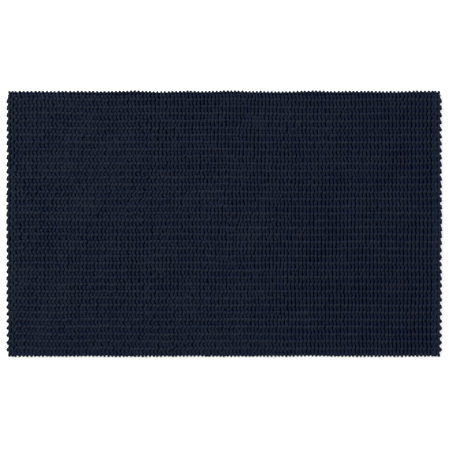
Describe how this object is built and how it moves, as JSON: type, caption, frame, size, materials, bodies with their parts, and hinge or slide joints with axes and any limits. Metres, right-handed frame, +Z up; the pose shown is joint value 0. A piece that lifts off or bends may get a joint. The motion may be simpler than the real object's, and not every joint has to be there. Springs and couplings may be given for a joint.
{
  "type": "bath mat",
  "caption": "Rectangular bath mat of thick dark blue crocheted yarn with beaded edges, on a thin anti-slip backing.",
  "frame": {"origin": "middle of the underside, on the floor plane", "axes": "+X along the long side, +Y along the short side, +Z up from the floor to the pile"},
  "size_m": [0.864, 0.528, 0.0115],
  "materials": {
    "yarn": "soft matt navy yarn, twisted from plies, with a short fuzz",
    "backing": "matt latex on a fine cloth, with a grid of small raised dots",
    "thread": "twisted sewing thread, slight sheen",
    "label": "smooth white woven tape, blank"
  },
  "bodies": {
    "root": {"stitch_row_01": "yarn", "stitch_row_02": "yarn", "stitch_row_03": "yarn", "stitch_row_04": "yarn", "stitch_row_05": "yarn", "stitch_row_06": "yarn", "stitch_row_07": "yarn", "stitch_row_08": "yarn", "stitch_row_09": "yarn", "stitch_row_10": "yarn", "stitch_row_11": "yarn", "stitch_row_12": "yarn", "stitch_row_13": "yarn", "stitch_row_14": "yarn", "stitch_row_15": "yarn", "stitch_row_16": "yarn", "stitch_row_17": "yarn", "stitch_row_18": "yarn", "stitch_row_19": "yarn", "stitch_row_20": "yarn", "stitch_row_21": "yarn", "stitch_row_22": "yarn", "stitch_row_23": "yarn", "stitch_row_24": "yarn", "stitch_row_25": "yarn", "stitch_row_26": "yarn", "stitch_row_27": "yarn", "stitch_row_28": "yarn", "stitch_row_29": "yarn", "stitch_row_30": "yarn", "stitch_row_31": "yarn", "stitch_row_32": "yarn", "stitch_row_33": "yarn", "stitch_row_34": "yarn", "stitch_row_35": "yarn", "stitch_row_36": "yarn", "starting_row": "yarn", "finishing_row": "yarn", "side_edging_left": "yarn", "side_edging_right": "yarn", "backing": "backing", "care_label": "label", "seam_left": "thread", "seam_right": "thread", "seam_top": "thread", "seam_bottom": "thread"}
  },
  "joints": []
}
